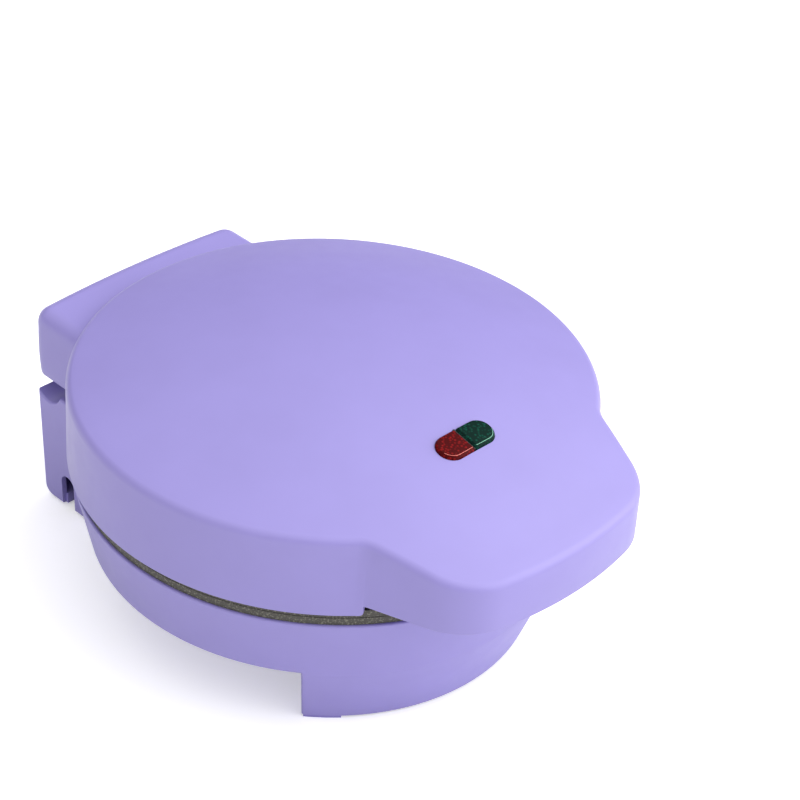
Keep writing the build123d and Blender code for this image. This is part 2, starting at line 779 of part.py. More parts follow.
with BuildPart() as thermostat:
    place = on_ring(thermostat_ring, 90)
    with BuildSketch(body.offset(lower_back_of_plate - post_seat)):
        with Locations(place):
            Circle(thermostat_radius)
    extrude(amount=-thermostat_height)
    with BuildSketch(body.offset(lower_back_of_plate - post_seat - thermostat_height)):
        with Locations(place):
            Circle(thermostat_cap_radius)
    extrude(amount=-thermostat_cap_height)
    tab_z = lower_back_of_plate - post_seat - thermostat_height - thermostat_cap_height
    with BuildSketch(body.offset(tab_z)):
        with Locations((place[0] - 3, place[1]), (place[0] + 3, place[1])):
            Rectangle(thermostat_tab_sheet, thermostat_tab_width)
    extrude(amount=-thermostat_tab_height)

with BuildPart() as thermal_fuse:
    fuse_z = lower_back_of_plate - fuse_radius - post_seat
    for radius, length in ((fuse_radius, fuse_length), (fuse_lead_radius, fuse_length + 2 * fuse_lead_length)):
        with BuildSketch(upright_at(fuse_angle).offset(-length / 2)):
            with Locations((thermostat_ring, fuse_z)):
                Circle(radius)
        extrude(amount=length)

with BuildPart() as terminal_block:
    with BuildSketch(body.offset(floor_top_z)):
        with Locations((0, terminal_y)):
            Rectangle(terminal_size[0], terminal_size[1])
    extrude(amount=terminal_size[2])
    with BuildSketch(body.offset(floor_top_z + terminal_size[2])):
        with Locations((0, terminal_y)):
            with GridLocations(terminal_pitch, 1, terminal_ways, 1):
                Circle(terminal_hole_radius)
    extrude(amount=-terminal_size[2] / 2, mode=Mode.SUBTRACT)

with BuildPart() as cord_gland:
    for start_y, depth, lip in ((column_rear_y + gland_flange, gland_flange, gland_lip),
                                (column_rear_y, base_wall, 0.0),
                                (column_rear_y - base_wall, gland_flange, gland_lip)):
        with BuildSketch(upright.offset(-start_y)):
            with Locations((0, gland_z)):
                Rectangle(gland_body[0] + 2 * lip, gland_body[1] + 2 * lip)
        extrude(amount=depth)
    with BuildSketch(upright.offset(-(column_rear_y + gland_flange))):
        with Locations((0, gland_z)):
            Circle(gland_bore_radius)
    extrude(amount=base_wall + 2 * gland_flange, mode=Mode.SUBTRACT)


# ======================================================================
# Hinge pins and foot pads
# ======================================================================
def hinge_pin(side):
    """Steel pin through a lug of the base and an ear of the lid's frame."""
    length = lug_width + ear_side_gap + ear_width + 2 * pin_overhang
    start = lug_inner_x - pin_overhang if side > 0 else -(lug_inner_x - pin_overhang + length)
    with BuildPart() as pin:
        with BuildSketch(side_on.offset(start)):
            with Locations((hinge_reach, hinge_z)):
                Circle(pin_radius)
        extrude(amount=length)
    return pin


left_hinge_pin = hinge_pin(-1)
right_hinge_pin = hinge_pin(1)

with BuildPart() as front_foot_pads:
    for start in (foot_start + 0.5, -90 + foot_half_angle - foot_block_angle + 0.5):
        with BuildSketch(upright_at(start)):
            with Locations(((foot_inner_toe_radius + foot_toe_radius) / 2, pad_height / 2)):
                Rectangle(foot_toe_radius - foot_inner_toe_radius - front_pad_inset, pad_height)
        revolve(axis=spin, revolution_arc=foot_block_angle - 1)

with BuildPart() as rear_foot_pads:
    with BuildSketch(body):
        with Locations((rear_pad_x, rear_pad_y), (-rear_pad_x, rear_pad_y)):
            Rectangle(rear_pad_size[0], rear_pad_size[1])
    extrude(amount=pad_height)


# ======================================================================
# Every piece under its own name
# ======================================================================
pieces = {
    "base_housing": base_housing,
    "front_foot_pads": front_foot_pads,
    "rear_foot_pads": rear_foot_pads,
    "cord_gland": cord_gland,
    "terminal_block": terminal_block,
    "lower_plate": lower_plate,
    "lower_heater": lower_heater,
    "lower_heater_clips": lower_heater_clips,
    "lower_reflector": lower_reflector,
    "lower_reflector_screw": lower_reflector_screw,
    "lower_plate_screws": lower_plate_screws,
    "thermostat": thermostat,
    "thermal_fuse": thermal_fuse,
    "left_hinge_pin": left_hinge_pin,
    "right_hinge_pin": right_hinge_pin,
    "lid_cover": lid_cover,
    "inner_frame": inner_frame,
    "frame_screws": frame_screws,
    "upper_plate": upper_plate,
    "upper_heater": upper_heater,
    "upper_heater_clips": upper_heater_clips,
    "upper_reflector": upper_reflector,
    "upper_reflector_screw": upper_reflector_screw,
    "upper_plate_screws": upper_plate_screws,
    "red_lens": red_lens,
    "green_lens": green_lens,
    "lamp_holder": lamp_holder,
    "red_lamp": red_lamp,
    "green_lamp": green_lamp,
}
for name, piece in pieces.items():
    piece.part.label = name
    export_step(piece.part, f"parts/{name}.step")
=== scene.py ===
"""Looks of a lilac cake pop maker: finishes, the moulded lid shell, studio light and camera.

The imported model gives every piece's place. Lengths below are in millimetres, and one
factor turns them into the frame's metres.
"""

import json
import logging
import math
from collections.abc import Sequence
from dataclasses import dataclass, field
from enum import Enum

import bpy
from mathutils import Matrix, Vector

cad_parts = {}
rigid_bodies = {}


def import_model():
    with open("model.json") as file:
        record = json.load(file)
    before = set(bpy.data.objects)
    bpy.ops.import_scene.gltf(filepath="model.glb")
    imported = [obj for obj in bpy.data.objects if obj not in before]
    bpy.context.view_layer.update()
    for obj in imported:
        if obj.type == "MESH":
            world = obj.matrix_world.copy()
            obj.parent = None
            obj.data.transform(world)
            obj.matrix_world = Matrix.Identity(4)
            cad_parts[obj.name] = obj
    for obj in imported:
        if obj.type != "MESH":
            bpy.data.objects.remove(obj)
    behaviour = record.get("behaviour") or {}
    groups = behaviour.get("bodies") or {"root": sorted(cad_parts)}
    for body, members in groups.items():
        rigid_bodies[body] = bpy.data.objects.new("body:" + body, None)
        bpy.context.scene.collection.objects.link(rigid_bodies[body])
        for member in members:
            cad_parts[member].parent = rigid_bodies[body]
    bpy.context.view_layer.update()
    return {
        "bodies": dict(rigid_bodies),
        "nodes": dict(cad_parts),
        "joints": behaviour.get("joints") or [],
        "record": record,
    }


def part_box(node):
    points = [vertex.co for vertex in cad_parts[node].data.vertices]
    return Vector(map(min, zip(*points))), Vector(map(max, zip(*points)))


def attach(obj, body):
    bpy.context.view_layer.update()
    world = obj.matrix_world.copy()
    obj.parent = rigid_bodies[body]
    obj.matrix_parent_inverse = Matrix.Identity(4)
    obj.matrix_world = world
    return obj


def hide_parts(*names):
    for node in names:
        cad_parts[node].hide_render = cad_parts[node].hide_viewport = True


log = logging.getLogger("cake_pop_maker")
MM = 0.001
Point = tuple[float, float]
Colour = tuple[float, float, float, float]
# the lid's dome, which the lenses follow: height of its top and its radius, in mm
DOME_TOP = 123.7
DOME_RADIUS = 380.0


# ----------------------------------------------------------------------------
# Colour and node helpers
# ----------------------------------------------------------------------------
def linear(hex_code: str) -> Colour:
    """Turn an sRGB hex colour into linear red, green, blue and alpha.

    Args:
        hex_code: Six hex digits, with or without a leading hash.

    Returns:
        Linear RGBA with alpha 1.
    """
    digits = hex_code.lstrip("#")
    parts = [int(digits[i : i + 2], 16) / 255 for i in (0, 2, 4)]
    red, green, blue = (c / 12.92 if c <= 0.04045 else ((c + 0.055) / 1.055) ** 2.4 for c in parts)
    return (red, green, blue, 1.0)


def add_node(tree: bpy.types.NodeTree, kind: str, inputs: dict | None = None,
             **settings: object) -> bpy.types.Node:
    """Add one node with its settings, input values and links.

    Args:
        tree: Node tree that receives the node.
        kind: Blender's type name of the node.
        inputs: Socket name or index to a value, or to an output socket to link.
        settings: Attributes of the node itself.

    Returns:
        The new node.
    """
    node = tree.nodes.new(kind)
    for name, value in settings.items():
        setattr(node, name, value)
    for key, value in (inputs or {}).items():
        socket = node.inputs[key]
        if isinstance(value, bpy.types.NodeSocket):
            tree.links.new(value, socket)
        else:
            socket.default_value = value
    return node


@dataclass(frozen=True)
class Surface:
    """An empty material tree with object coordinates and a Principled shader."""

    material: bpy.types.Material
    tree: bpy.types.NodeTree
    shader: bpy.types.Node
    place: bpy.types.NodeSocket

    @classmethod
    def named(cls, name: str, sockets: dict[str, object]) -> "Surface":
        """Start a material.

        Args:
            name: Name of the real material and how its surface was made.
            sockets: Constant values set on the shader's own sockets.

        Returns:
            The surface, its shader linked to the output.
        """
        material = bpy.data.materials.new(name)
        material.use_nodes = True
        tree = material.node_tree
        tree.nodes.clear()
        shader = add_node(tree, "ShaderNodeBsdfPrincipled", sockets)
        add_node(tree, "ShaderNodeOutputMaterial", {"Surface": shader.outputs["BSDF"]})
        place = add_node(tree, "ShaderNodeTexCoord").outputs["Object"]
        return cls(material, tree, shader, place)

    def noise(self, size_mm: float, detail: float = 2.0,
              stretch: Sequence[float] = (1, 1, 1)) -> bpy.types.NodeSocket:
        """Give noise whose blobs are about size_mm across.

        Args:
            size_mm: Real size of one blob.
            detail: Octaves of finer noise.
            stretch: How much longer the blobs are along each axis.

        Returns:
            The noise factor's socket.
        """
        scale = tuple(1 / (size_mm * MM * s) for s in stretch)
        mapped = add_node(self.tree, "ShaderNodeMapping", {"Vector": self.place, "Scale": scale})
        node = add_node(self.tree, "ShaderNodeTexNoise",
                        {"Vector": mapped.outputs[0], "Scale": 1.0, "Detail": detail, "Roughness": 0.55})
        return node.outputs["Fac"]

    def spread(self, factor: bpy.types.NodeSocket, low: float, high: float,
               start: float = 0.3, end: float = 0.7) -> bpy.types.NodeSocket:
        """Map a factor from start..end onto low..high."""
        node = add_node(self.tree, "ShaderNodeMapRange",
                        {"Value": factor, "From Min": start, "From Max": end,
                         "To Min": low, "To Max": high})
        return node.outputs["Result"]

    def blend(self, factor: bpy.types.NodeSocket, first: str, second: str) -> bpy.types.NodeSocket:
        """Mix two hex colours by a factor from 0 to 1."""
        node = add_node(self.tree, "ShaderNodeMix", {"Factor": factor}, data_type="RGBA")
        node.inputs[6].default_value = linear(first)
        node.inputs[7].default_value = linear(second)
        return node.outputs[2]

    def feed(self, socket: str, source: bpy.types.NodeSocket) -> None:
        """Link a source to one of the shader's sockets."""
        self.tree.links.new(source, self.shader.inputs[socket])

    def emboss(self, height: bpy.types.NodeSocket, depth_mm: float, strength: float) -> None:
        """Raise the surface by a height pattern.

        Args:
            height: Pattern from 0 to 1.
            depth_mm: Real height of the pattern.
            strength: Share of the pattern that shows.
        """
        bump = add_node(self.tree, "ShaderNodeBump",
                        {"Height": height, "Distance": depth_mm * MM, "Strength": strength})
        self.feed("Normal", bump.outputs["Normal"])


# ----------------------------------------------------------------------------
# Finishes
# ----------------------------------------------------------------------------
@dataclass(frozen=True)
class MouldedPlastic:
    """Injection-moulded thermoplastic: coloured through, with the mould's fine grain."""

    name: str
    shade: str
    shade_pooled: str
    roughness: float
    grain_mm: float
    grain_depth_mm: float
    gloss_spread: float = 0.04
    cloud_mm: float = 38.0
    gloss_mm: float = 9.0
    grain_strength: float = 0.35

    def make(self) -> bpy.types.Material:
        """Build the material: cloudy pigment, uneven gloss and a faint grain."""
        surface = Surface.named(self.name, {"IOR": 1.53})
        # pigment spreads a little unevenly in the melt, in clouds a few centimetres wide
        clouds = surface.spread(surface.noise(self.cloud_mm, 3.0), 0.0, 1.0)
        surface.feed("Base Color", surface.blend(clouds, self.shade, self.shade_pooled))
        gloss = surface.noise(self.gloss_mm, 4.0)
        surface.feed("Roughness", surface.spread(gloss, self.roughness - self.gloss_spread,
                                                 self.roughness + self.gloss_spread))
        surface.emboss(surface.noise(self.grain_mm, 2.0), self.grain_depth_mm, self.grain_strength)
        return surface.material


@dataclass(frozen=True)
class NonStickCoating:
    """Die-cast aluminium under a sprayed, baked non-stick coat with pale mineral specks."""

    name: str = "sprayed_nonstick_on_cast_aluminium"
    coat_shade: str = "#4A4841"
    speck_shade: str = "#8D8A7A"
    speck_mm: float = 0.8
    skin_mm: float = 0.8
    skin_depth_mm: float = 0.03
    roughness: float = 0.42

    def make(self) -> bpy.types.Material:
        """Build the material: dark coat, fine specks and a sprayed, slightly bumpy skin."""
        surface = Surface.named(self.name, {"IOR": 1.45})
        # the real specks are 0.2 to 0.5 mm; drawn at 0.8 mm so that they show
        speckle = surface.noise(self.speck_mm, 3.0)
        mask = surface.spread(speckle, 0.0, 0.85, 0.53, 0.66)
        surface.feed("Base Color", surface.blend(mask, self.coat_shade, self.speck_shade))
        surface.feed("Roughness", surface.spread(speckle, self.roughness - 0.08, self.roughness + 0.1))
        surface.emboss(surface.noise(self.skin_mm, 3.0), self.skin_depth_mm, 0.5)
        return surface.material


class MetalKind(Enum):
    """Metals of the hidden and the fastening pieces: shade, worn shade, roughness, streak."""

    ZINC_STEEL = ("zinc_plated_pressed_steel", "#B4B6B2", "#8E918F", 0.33, 1.0)
    SHEATH = ("annealed_drawn_tube_sheath", "#6E645C", "#4A423D", 0.48, 5.0)
    BRIGHT_SHEET = ("rolled_bright_aluminium_sheet", "#D4D5D6", "#BFC1C3", 0.24, 14.0)


@dataclass(frozen=True)
class Metal:
    """Bare or plated metal with streaks along the way that it was drawn or rolled."""

    kind: MetalKind
    streak_mm: float = 1.4
    scratch_mm: float = 0.5
    scratch_depth_mm: float = 0.01

    def make(self) -> bpy.types.Material:
        """Build the material: streaked tint, streaked roughness and faint scratches."""
        name, bright, worn, roughness, streak = self.kind.value
        surface = Surface.named(name, {"Metallic": 1.0})
        streaks = surface.noise(self.streak_mm, 4.0, (streak, 1, 1))
        surface.feed("Base Color", surface.blend(surface.spread(streaks, 0, 1), bright, worn))
        surface.feed("Roughness", surface.spread(streaks, roughness - 0.06, roughness + 0.12))
        scratches = surface.noise(self.scratch_mm, 3.0, (streak, 1, 1))
        surface.emboss(scratches, self.scratch_depth_mm, 0.4)
        return surface.material


@dataclass(frozen=True)
class TintedLens:
    """Deeply tinted clear acrylic with a prismatic inner face, as on a pilot lamp, with painted glints on
    its prism cells; in pale shades it paints the lenses' edge highlight.
    """

    name: str
    deep: str
    bright: str
    prism_mm: float = 1.3
    ripple_mm: float = 6.0
    ripple_depth_mm: float = 0.05

    def make(self) -> bpy.types.Material:
        """Build the material: deep tint with painted glints in a cell pattern, under a polished face."""
        # little reflection: the pictured lamp's face stays dark under the studio's panels
        surface = Surface.named(self.name, {"IOR": 1.49, "Roughness": 0.04, "Specular IOR Level": 0.06})
        scale = 1 / (self.prism_mm * MM)
        cells = add_node(surface.tree, "ShaderNodeTexVoronoi",
                         {"Vector": surface.place, "Scale": scale, "Randomness": 0.9})
        # painted glints: the bright shade fills the middle of each prism cell
        glints = surface.spread(cells.outputs["Distance"], 0.0, 1.0, 0.5, 0.05)
        surface.feed("Base Color", surface.blend(glints, self.deep, self.bright))
        surface.emboss(surface.noise(self.ripple_mm, 1.0), self.ripple_depth_mm, 0.3)
        return surface.material


@dataclass(frozen=True)
class BlownGlass:
    """Thin clear glass of a neon lamp."""

    name: str = "blown_clear_glass"
    flow_mm: float = 2.0

    def make(self) -> bpy.types.Material:
        """Build the material: clear, with a faint flow in its wall."""
        surface = Surface.named(self.name, {"IOR": 1.47, "Transmission Weight": 0.9, "Roughness": 0.02})
        flow = surface.spread(surface.noise(self.flow_mm, 2.0, (1, 1, 4)), 0.0, 1.0)
        surface.feed("Base Color", surface.blend(flow, "#F4F6F4", "#DDE3DF"))
        return surface.material


def finishes() -> dict[str, bpy.types.Material]:
    """Make every finish once.

    Returns:
        Finish by the record's slot name, and the two pale finishes that paint a highlight on the lenses'
        front edges.
    """
    recipes = {
        # ABS from a polished mould: soft broad highlights over a clear lilac
        "lilac_plastic": MouldedPlastic("moulded_abs_semigloss_lilac",
                                        "#988ED1", "#958BCD", 0.36, 0.9, 0.012),
        "nonstick_casting": NonStickCoating(),
        "plated_steel": Metal(MetalKind.ZINC_STEEL),
        "heater_sheath": Metal(MetalKind.SHEATH),
        "bright_sheet": Metal(MetalKind.BRIGHT_SHEET),
        # glass-filled nylon: dull black with a coarse grain
        "black_plastic": MouldedPlastic("moulded_black_nylon", "#18181A", "#222224", 0.55, 0.7, 0.03),
        # steatite: chalky white, slightly rough
        "white_plastic": MouldedPlastic("pressed_steatite_ceramic", "#E4E0D6", "#D8D3C6", 0.62, 0.6, 0.03),
        # soft rubber: dull, with no clear highlight
        "foot_rubber": MouldedPlastic("moulded_lilac_rubber", "#938ACD", "#8E85C8", 0.72, 0.8, 0.03),
        "red_lens": TintedLens("moulded_red_acrylic_lens", "#4A0408", "#8E1416"),
        "green_lens": TintedLens("moulded_green_acrylic_lens", "#02231D", "#0A5040"),
        # painted highlight: a pale finish on the lenses' rounded upper front edge stands in for the light
        # that this edge catches
        "red_edge": TintedLens("painted_highlight_red_acrylic_edge", "#E07A70", "#F09A8C"),
        "green_edge": TintedLens("painted_highlight_green_acrylic_edge", "#7FBFA4", "#A6D8C2"),
        "lamp_glass": BlownGlass(),
    }
    return {slot: recipe.make() for slot, recipe in recipes.items()}


# ----------------------------------------------------------------------------
# Mesh helpers
# ----------------------------------------------------------------------------
def new_piece(name: str, points: list[Vector], faces: list[tuple[int, ...]],
              material: bpy.types.Material, sharp_angle: float = 40.0) -> bpy.types.Object:
    """Make a smooth-shaded object from points in metres.

    Args:
        name: Name of the piece.
        points: Vertices in the row frame.
        faces: Vertex indices of each face.
        material: Finish of the whole piece.
        sharp_angle: Edges that turn by more degrees than this stay crisp.

    Returns:
        The linked object.
    """
    mesh = bpy.data.meshes.new(name)
    mesh.from_pydata([tuple(p) for p in points], [], faces)
    mesh.materials.append(material)
    mesh.update()
    mesh.polygons.foreach_set("use_smooth", [True] * len(mesh.polygons))
    mesh.set_sharp_from_angle(angle=math.radians(sharp_angle))
    piece = bpy.data.objects.new(name, mesh)
    bpy.context.scene.collection.objects.link(piece)
    return piece


def stitch_loop(name: str, columns: list[list[Vector]], material: bpy.types.Material,
                sharp_angle: float = 40.0) -> bpy.types.Object:
    """Join equal columns of points round a closed loop and cap their two ends.

    Args:
        name: Name of the piece.
        columns: Points in metres, one column at each place round the loop.
        material: Finish of the whole piece.
        sharp_angle: Edges that turn by more degrees than this stay crisp.

    Returns:
        The closed piece.
    """
    rows, count = len(columns[0]), len(columns)
    points = [p for column in columns for p in column]
    faces: list[tuple[int, ...]] = []
    for i in range(count):
        j = (i + 1) % count
        for k in range(rows - 1):
            faces.append((i * rows + k, i * rows + k + 1, j * rows + k + 1, j * rows + k))
    faces.append(tuple(i * rows for i in range(count)))
    faces.append(tuple(i * rows + rows - 1 for i in reversed(range(count))))
    return new_piece(name, points, faces, material, sharp_angle)


@dataclass(frozen=True)
class Station:
    """One point of an outline in plan, with its outward direction."""

    x: float
    y: float
    out_x: float
    out_y: float

    def inset(self, depth: float) -> Point:
        """Point that lies inside the outline by a depth."""
        return (self.x - self.out_x * depth, self.y - self.out_y * depth)

    def mirrored(self) -> "Station":
        """The same station on the other side of the YZ plane."""
        return Station(-self.x, self.y, -self.out_x, self.out_y)

    def towards(self, other: "Station", share: float) -> "Station":
        """A station part of the way to another one."""
        mix = [a + (b - a) * share for a, b in ((self.x, other.x), (self.y, other.y),
                                                (self.out_x, other.out_x), (self.out_y, other.out_y))]
        return Station(*mix)


def arc_stations(centre: Point, radius: float, start: float, end: float, count: int,
                 hollow: bool = False) -> list[Station]:
    """Stations along an arc.

    Args:
        centre: Centre of the arc.
        radius: Its radius.
        start: First angle in radians.
        end: Last angle in radians.
        count: Number of stations, both ends included.
        hollow: True where the outline curves inwards, so its outside holds the centre.

    Returns:
        The stations in order.
    """
    made = []
    for i in range(count):
        angle = start + (end - start) * i / (count - 1)
        out = (math.cos(angle), math.sin(angle))
        sign = -1 if hollow else 1
        made.append(Station(centre[0] + radius * out[0], centre[1] + radius * out[1],
                            sign * out[0], sign * out[1]))
    return made


def angle_of(point: Point, centre: Point) -> float:
    """Angle in radians of a point about a centre."""
    return math.atan2(point[1] - centre[1], point[0] - centre[0])


# ----------------------------------------------------------------------------
# Lid cover
# ----------------------------------------------------------------------------
@dataclass
class LidCover:
    """The domed lid shell with its handle, and the hinge cover behind it.

    Every length is in millimetres, and plan positions are from the centre line of the
    round plates. Names that end in steps count the stations along a stretch of outline.
    """

    finish: bpy.types.Material
    axis_y: float
    radius: float = 111.0
    reach: float = 137.1
    root_x: float = 67.8
    tip_x: float = 53.3
    bow: float = 8.4
    corner: float = 30.0
    blend: float = 12.0
    top_round: float = 4.0
    edge_round: float = 0.7
    # share of the edge's round at which the hinge cover's walls ease into it
    edge_ease: float = 0.3
    wall: float = 2.5
    skirt_z: float = 71.0
    handle_z: float = 76.0
    step_y: float = -89.0
    step_corner: float = 2.0
    step_steps: int = 6
    round_steps: int = 110
    blend_steps: int = 12
    side_steps: int = 12
    corner_steps: int = 26
    front_steps: int = 30
    rings: int = 26
    window_y: float = 74.5
    window_length: float = 29.3
    window_width: float = 12.9
    window_steps: int = 20
    cover_half: float = 56.4
    cover_reach: float = 132.6
    cover_bow: float = 2.8
    cover_corner: float = 7.4
    cover_round: float = 7.0
    cover_top: float = 100.8
    cover_edge: float = 67.7
    cover_heel: float = 6.0
    cover_front: float = 86.0
    cover_taper: float = 1.0
    cover_taper_height: float = 16.0
    pieces: list[bpy.types.Object] = field(default_factory=list)

    def dome_z(self, x: float, y: float, drop: float = 0.0) -> float:
        """Height of the dome over a point, less a thickness under it."""
        centre_z = DOME_TOP - DOME_RADIUS
        return centre_z + math.sqrt((DOME_RADIUS - drop) ** 2 - x * x - y * y)

    def top_roll(self, depth: float) -> float:
        """Radius of the round between the top and the skirt, on the skin at a depth."""
        return self.top_round - depth * 0.6

    def half_outline(self) -> list[Station]:
        """Right half of the lid's plan, from the back round to the front of the handle.

        Returns:
            Stations whose outward directions turn without a jump.
        """
        root = Vector((self.root_x, -math.sqrt(self.radius**2 - self.root_x**2)))
        tip = Vector((self.tip_x, -(self.reach - self.bow)))
        along = (tip - root).normalized()
        out = Vector((-along.y, along.x))
        # hollow blend between the round lid and the handle's side
        side = root + out * self.blend
        turn = side.dot(along)
        step = -turn + math.sqrt(turn**2 - side.length_squared + (self.radius + self.blend) ** 2)
        hollow = side + along * step
        # rounded front corner of the handle
        bow_radius = (self.tip_x**2 + self.bow**2) / (2 * self.bow)
        bow_centre = Vector((0, bow_radius - self.reach))
        inner = root - out * self.corner - bow_centre
        turn = inner.dot(along)
        step = -turn + math.sqrt(turn**2 - inner.length_squared + (bow_radius - self.corner) ** 2)
        nose = inner + along * step + bow_centre
        line_start, line_end = hollow - out * self.blend, nose + out * self.corner
        leave = angle_of(hollow, (0, 0))
        made = arc_stations((0, 0), self.radius, math.pi / 2, leave, self.round_steps)
        made += arc_stations(tuple(hollow), self.blend, leave + math.pi,
                             angle_of(line_start, hollow), self.blend_steps, hollow=True)[1:]
        for i in range(1, self.side_steps):
            spot = line_start.lerp(line_end, i / self.side_steps)
            made.append(Station(spot.x, spot.y, out.x, out.y))
        toe = angle_of(nose, bow_centre)
        made += arc_stations(tuple(nose), self.corner, angle_of(line_end, nose), toe,
                             self.corner_steps)
        made += arc_stations(tuple(bow_centre), bow_radius, toe, -math.pi / 2,
                             self.front_steps)[1:]
        return self.close_up(made)

    def close_up(self, stations: list[Station]) -> list[Station]:
        """Crowd stations round the step in the lower edge, so that its corner comes out round.

        Args:
            stations: Outline with even spacing.

        Returns:
            The outline with more stations near the step, two of them on either side of it.
        """
        behind, ahead = self.step_y + self.step_corner + 1, self.step_y - 1
        gap, least = 0.01, 0.001
        made = [stations[0]]
        for first, last in zip(stations, stations[1:]):
            near = min(first.y, last.y) < behind and max(first.y, last.y) > ahead
            shares = [i / self.step_steps for i in range(1, self.step_steps)] if near else []
            if first.y > self.step_y > last.y:
                cut = (first.y - self.step_y) / (first.y - last.y)
                shares = sorted(shares + [max(cut - gap, least), min(cut + gap, 1 - least)])
            made += [first.towards(last, share) for share in shares]
            made.append(last)
        return made

    def outline(self) -> list[Station]:
        """Whole plan of the round lid and handle, once round."""
        right = self.half_outline()
        left = [s.mirrored() for s in reversed(right[1:-1])]
        return right + left

    def lower_edge(self, station: Station) -> float:
        """Height of the skirt's lower edge: it steps up, past a round corner, at the handle."""
        beside = station.y - self.step_y
        if beside <= 0:
            return self.handle_z
        over = max(0.0, self.step_corner - beside)
        return self.skirt_z + self.step_corner - math.sqrt(self.step_corner**2 - over**2)

    def skin(self, station: Station, depth: float) -> list[tuple[float, float]]:
        """Profile of one skin at a station, round from the top's edge down to the skirt.

        Args:
            station: Place on the outline.
            depth: 0 for the outer skin, the wall's thickness for the inner one.

        Returns:
            Pairs of inset and height.
        """
        roll = self.top_roll(depth)
        ball = DOME_RADIUS - depth
        spot = station.inset(depth + roll)
        slope = (spot[0] * station.out_x + spot[1] * station.out_y) / math.sqrt(
            ball**2 - spot[0] ** 2 - spot[1] ** 2)
        top_z = self.dome_z(*spot, depth)
        end = math.atan2(1.0, slope)
        centre_z = top_z - roll * math.sin(end)
        profile = []
        steps = 8
        for i in range(steps + 1):
            angle = end * (1 - i / steps)
            profile.append((depth + roll - roll * math.cos(angle), centre_z + roll * math.sin(angle)))
        return profile

    def shell(self) -> bpy.types.Object:
        """Build the round lid and handle as one closed shell.

        Returns:
            The shell, not yet pierced for the lamps.
        """
        stations = self.outline()
        columns: list[list[Vector]] = []
        for station in stations:
            low = self.lower_edge(station)
            outer, inner = self.skin(station, 0.0), self.skin(station, self.wall)
            edge = [(self.edge_round * (1 - math.cos(a)), low + self.edge_round * (1 - math.sin(a)))
                    for a in (0.0, 0.5, 1.05, math.pi / 2)]
            edge += [(self.wall - d, z) for d, z in reversed(edge)]
            profile = outer + edge + list(reversed(inner))
            column = [self.place(station.inset(d), z) for d, z in profile]
            columns.append(self.top_rings(station, 0.0) + column + self.top_rings(station, self.wall)[::-1])
        return stitch_loop("lid_shell", columns, self.finish)

    def top_rings(self, station: Station, depth: float) -> list[Vector]:
        """Points of the domed top from near the centre out to the rounded edge."""
        rim = station.inset(depth + self.top_roll(depth))
        made = []
        for i in range(self.rings):
            share = (i + 0.5) / (self.rings + 0.5)
            spot = (rim[0] * share, rim[1] * share)
            made.append(self.place(spot, self.dome_z(*spot, depth)))
        return made

    def place(self, spot: Point, z: float) -> Vector:
        """A point of the plan at a height, in the row frame in metres."""
        return Vector((spot[0], spot[1] + self.axis_y, z)) * MM

    def cover_outline(self) -> list[Station]:
        """Plan of the hinge cover, its front end hidden inside the round lid."""
        bow_radius = (self.cover_half**2 + self.cover_bow**2) / (2 * self.cover_bow)
        bow_centre = (0.0, self.cover_reach - bow_radius)
        centre_x = self.cover_half - self.cover_corner
        rise = math.sqrt((bow_radius - self.cover_corner) ** 2 - centre_x**2)
        corner = (centre_x, bow_centre[1] + rise)
        turn = angle_of(corner, bow_centre)
        right = arc_stations(bow_centre, bow_radius, math.pi / 2, turn, 24)
        right += arc_stations(corner, self.cover_corner, turn, 0.0, 14)[1:]
        steps = 15
        for i in range(1, steps + 1):
            y = corner[1] + (self.cover_front - corner[1]) * i / steps
            right.append(Station(self.cover_half, y, 1.0, 0.0))
        return [s.mirrored() for s in reversed(right[1:])] + right

    def heel_z(self, x: float, y: float) -> float:
        """Height of the hinge cover's lower edge, rounded up towards its back."""
        bow_radius = (self.cover_half**2 + self.cover_bow**2) / (2 * self.cover_bow)
        back = self.cover_reach - bow_radius + math.sqrt(bow_radius**2 - x * x)
        over = max(0.0, min(self.cover_heel, y - (back - self.cover_heel)))
        return self.cover_edge + self.cover_heel - math.sqrt(self.cover_heel**2 - over**2)

    def hinge_cover(self) -> bpy.types.Object:
        """Build the hinge cover as a thick open-bottomed shell.

        Returns:
            The cover, its front end inside the round lid.
        """
        columns = []
        for station in self.cover_outline():
            profile = self.cover_skin(station, 0.0) + self.cover_skin(station, self.wall)[::-1]
            columns.append([self.place(station.inset(d), z) for d, z in profile])
        return self.stitch_open("hinge_cover", columns)

    def cover_skin(self, station: Station, depth: float) -> list[Point]:
        """Profile of one skin of the hinge cover, from its top down to its lower edge.

        Args:
            station: Place on the cover's outline.
            depth: 0 for the outer skin, the wall's thickness for the inner one.

        Returns:
            Pairs of inset and height.
        """
        shoulder = self.cover_top - self.cover_round
        roll = self.cover_round - depth
        roll_steps, wall_steps = 10, 9
        skin = [(self.cover_round + 0.2, self.cover_top - depth)]
        for i in range(roll_steps + 1):
            angle = math.pi / 2 * (1 - i / roll_steps)
            skin.append((self.cover_round - roll * math.cos(angle), shoulder + roll * math.sin(angle)))
        foot = self.heel_z(*station.inset(self.cover_taper + depth))
        for i in range(1, wall_steps + 1):
            height = shoulder + (foot + self.edge_round - shoulder) * i / wall_steps
            skin.append((depth + self.taper(height), height))
        into = 1 if depth == 0 else -1
        ease = self.edge_round * self.edge_ease
        skin.append((depth + self.taper(foot) + into * ease, foot + ease))
        skin.append((depth + self.taper(foot) + into * self.edge_round, foot))
        return skin

    def taper(self, height: float) -> float:
        """How far the hinge cover's walls lean in at a height, towards their lower edge."""
        below = max(0.0, self.cover_edge + self.cover_taper_height - height)
        return self.cover_taper * (below / self.cover_taper_height) ** 2

